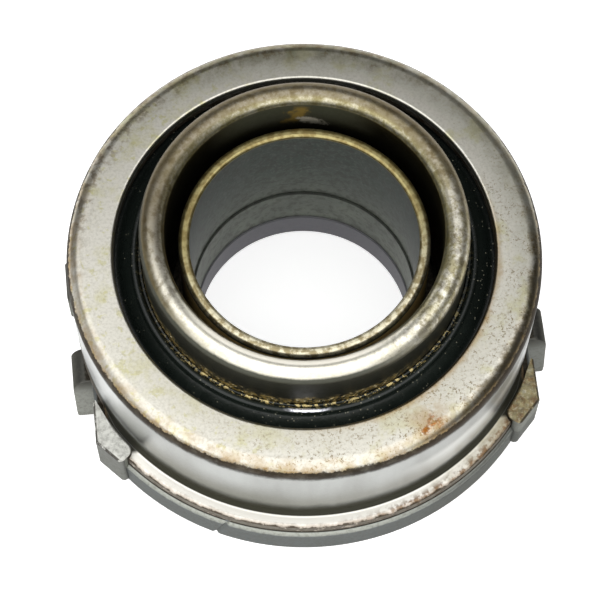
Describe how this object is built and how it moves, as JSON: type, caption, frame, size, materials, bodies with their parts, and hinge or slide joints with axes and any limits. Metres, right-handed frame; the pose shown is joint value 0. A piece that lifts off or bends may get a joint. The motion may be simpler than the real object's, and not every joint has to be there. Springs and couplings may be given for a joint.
{
  "type": "clutch release bearing",
  "caption": "Clutch release bearing: a self-centring ball race in a pressed cover, held by folded ears on a carrier with a guide sleeve and fork lugs.",
  "frame": {"origin": "on the bore's axis, at the lower end of the guide sleeve", "axes": "+Z along the bore's axis towards the nose that meets the clutch; the fork lugs are on the X sides"},
  "size_m": [0.0728, 0.076, 0.038],
  "materials": {
    "sleeve_steel": "oiled, dull turned steel with a golden film on the rim",
    "plate_steel": "grey blanked steel, satin, with a little rust on the ears",
    "cover_steel": "pressed steel, satin, with oil stains, dirt along the edges and rust spots",
    "spring_steel": "dark spring steel",
    "race_steel": "ground bearing steel",
    "nose_steel": "polished bearing steel with a golden-brown oil film",
    "ball_steel": "polished balls",
    "cage_polymer": "moulded brown-black cage",
    "seal_rubber": "glossy black oiled rubber"
  },
  "bodies": {
    "carrier": {"guide_sleeve": "sleeve_steel", "carrier_plate": "plate_steel", "cover": "cover_steel"},
    "spring": {"wave_spring": "spring_steel"},
    "bearing": {"outer_ring": "race_steel", "front_seal": "seal_rubber", "rear_seal": "seal_rubber"},
    "inner_race": {"inner_ring": "nose_steel"},
    "ball_cage": {"cage": "cage_polymer"},
    "ball_01": {"ball_01": "ball_steel"},
    "ball_02": {"ball_02": "ball_steel"},
    "ball_03": {"ball_03": "ball_steel"},
    "ball_04": {"ball_04": "ball_steel"},
    "ball_05": {"ball_05": "ball_steel"},
    "ball_06": {"ball_06": "ball_steel"},
    "ball_07": {"ball_07": "ball_steel"},
    "ball_08": {"ball_08": "ball_steel"},
    "ball_09": {"ball_09": "ball_steel"},
    "ball_10": {"ball_10": "ball_steel"},
    "ball_11": {"ball_11": "ball_steel"},
    "ball_12": {"ball_12": "ball_steel"},
    "ball_13": {"ball_13": "ball_steel"},
    "ball_14": {"ball_14": "ball_steel"},
    "ball_15": {"ball_15": "ball_steel"},
    "ball_16": {"ball_16": "ball_steel"}
  },
  "joints": [
    {"name": "centring_x", "type": "slide", "parent": "carrier", "child": "spring", "axis": [1, 0, 0], "range_m": [-0.001, 0.001]},
    {"name": "centring_y", "type": "slide", "parent": "spring", "child": "bearing", "axis": [0, 1, 0], "range_m": [-0.001, 0.001]},
    {"name": "inner_ring_spin", "type": "hinge", "parent": "bearing", "child": "inner_race", "pos_m": [0, 0, 0.02107], "axis": [0, 0, 1], "continuous": true},
    {"name": "cage_spin", "type": "hinge", "parent": "bearing", "child": "ball_cage", "pos_m": [0, 0, 0.02107], "axis": [0, 0, 1], "continuous": true},
    {"name": "ball_01_spin", "type": "hinge", "parent": "ball_cage", "child": "ball_01", "pos_m": [0.02587, 0, 0.02107], "axis": [0, 0, 1], "continuous": true},
    {"name": "ball_02_spin", "type": "hinge", "parent": "ball_cage", "child": "ball_02", "pos_m": [0.02391, 0.0099, 0.02107], "axis": [0, 0, 1], "continuous": true},
    {"name": "ball_03_spin", "type": "hinge", "parent": "ball_cage", "child": "ball_03", "pos_m": [0.0183, 0.0183, 0.02107], "axis": [0, 0, 1], "continuous": true},
    {"name": "ball_04_spin", "type": "hinge", "parent": "ball_cage", "child": "ball_04", "pos_m": [0.0099, 0.02391, 0.02107], "axis": [0, 0, 1], "continuous": true},
    {"name": "ball_05_spin", "type": "hinge", "parent": "ball_cage", "child": "ball_05", "pos_m": [0, 0.02587, 0.02107], "axis": [0, 0, 1], "continuous": true},
    {"name": "ball_06_spin", "type": "hinge", "parent": "ball_cage", "child": "ball_06", "pos_m": [-0.0099, 0.02391, 0.02107], "axis": [0, 0, 1], "continuous": true},
    {"name": "ball_07_spin", "type": "hinge", "parent": "ball_cage", "child": "ball_07", "pos_m": [-0.0183, 0.0183, 0.02107], "axis": [0, 0, 1], "continuous": true},
    {"name": "ball_08_spin", "type": "hinge", "parent": "ball_cage", "child": "ball_08", "pos_m": [-0.02391, 0.0099, 0.02107], "axis": [0, 0, 1], "continuous": true},
    {"name": "ball_09_spin", "type": "hinge", "parent": "ball_cage", "child": "ball_09", "pos_m": [-0.02587, 0, 0.02107], "axis": [0, 0, 1], "continuous": true},
    {"name": "ball_10_spin", "type": "hinge", "parent": "ball_cage", "child": "ball_10", "pos_m": [-0.02391, -0.0099, 0.02107], "axis": [0, 0, 1], "continuous": true},
    {"name": "ball_11_spin", "type": "hinge", "parent": "ball_cage", "child": "ball_11", "pos_m": [-0.0183, -0.0183, 0.02107], "axis": [0, 0, 1], "continuous": true},
    {"name": "ball_12_spin", "type": "hinge", "parent": "ball_cage", "child": "ball_12", "pos_m": [-0.0099, -0.02391, 0.02107], "axis": [0, 0, 1], "continuous": true},
    {"name": "ball_13_spin", "type": "hinge", "parent": "ball_cage", "child": "ball_13", "pos_m": [0, -0.02587, 0.02107], "axis": [0, 0, 1], "continuous": true},
    {"name": "ball_14_spin", "type": "hinge", "parent": "ball_cage", "child": "ball_14", "pos_m": [0.0099, -0.02391, 0.02107], "axis": [0, 0, 1], "continuous": true},
    {"name": "ball_15_spin", "type": "hinge", "parent": "ball_cage", "child": "ball_15", "pos_m": [0.0183, -0.0183, 0.02107], "axis": [0, 0, 1], "continuous": true},
    {"name": "ball_16_spin", "type": "hinge", "parent": "ball_cage", "child": "ball_16", "pos_m": [0.02391, -0.0099, 0.02107], "axis": [0, 0, 1], "continuous": true}
  ],
  "couplings": [
    {"joint": "cage_spin", "follows": "inner_ring_spin", "ratio": 0.43768},
    {"joint": "ball_01_spin", "follows": "inner_ring_spin", "ratio": -4.0115},
    {"joint": "ball_02_spin", "follows": "inner_ring_spin", "ratio": -4.0115},
    {"joint": "ball_03_spin", "follows": "inner_ring_spin", "ratio": -4.0115},
    {"joint": "ball_04_spin", "follows": "inner_ring_spin", "ratio": -4.0115},
    {"joint": "ball_05_spin", "follows": "inner_ring_spin", "ratio": -4.0115},
    {"joint": "ball_06_spin", "follows": "inner_ring_spin", "ratio": -4.0115},
    {"joint": "ball_07_spin", "follows": "inner_ring_spin", "ratio": -4.0115},
    {"joint": "ball_08_spin", "follows": "inner_ring_spin", "ratio": -4.0115},
    {"joint": "ball_09_spin", "follows": "inner_ring_spin", "ratio": -4.0115},
    {"joint": "ball_10_spin", "follows": "inner_ring_spin", "ratio": -4.0115},
    {"joint": "ball_11_spin", "follows": "inner_ring_spin", "ratio": -4.0115},
    {"joint": "ball_12_spin", "follows": "inner_ring_spin", "ratio": -4.0115},
    {"joint": "ball_13_spin", "follows": "inner_ring_spin", "ratio": -4.0115},
    {"joint": "ball_14_spin", "follows": "inner_ring_spin", "ratio": -4.0115},
    {"joint": "ball_15_spin", "follows": "inner_ring_spin", "ratio": -4.0115},
    {"joint": "ball_16_spin", "follows": "inner_ring_spin", "ratio": -4.0115}
  ]
}
